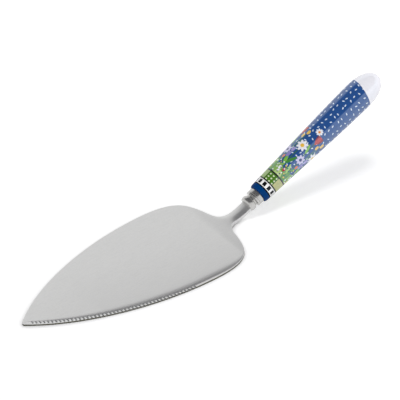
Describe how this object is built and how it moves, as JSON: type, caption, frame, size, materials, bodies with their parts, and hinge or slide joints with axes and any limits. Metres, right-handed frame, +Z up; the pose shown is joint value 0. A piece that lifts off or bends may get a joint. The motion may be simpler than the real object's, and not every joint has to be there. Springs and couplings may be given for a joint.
{
  "type": "cake server",
  "caption": "Broad leaf-shaped steel cake server with one serrated edge, an upswept neck, a turned bolster and a tapered glazed porcelain handle with a domed end.",
  "frame": {"origin": "on the surface the blade rests on, below the middle of the part's box", "axes": "+X from the blade's tip towards the handle's butt, +Y away from the serrated edge, +Z up"},
  "size_m": [0.2494, 0.068, 0.0552],
  "materials": {
    "blade_steel": "satin ground stainless steel",
    "bolster_steel": "polished stainless steel",
    "tang_steel": "as turned",
    "setting_cement": "cast setting cement",
    "porcelain": "printed and clear glazed"
  },
  "bodies": {
    "root": {"blade": "blade_steel", "bolster": "bolster_steel", "tang": "tang_steel", "cement": "setting_cement", "handle": "porcelain"}
  },
  "joints": []
}
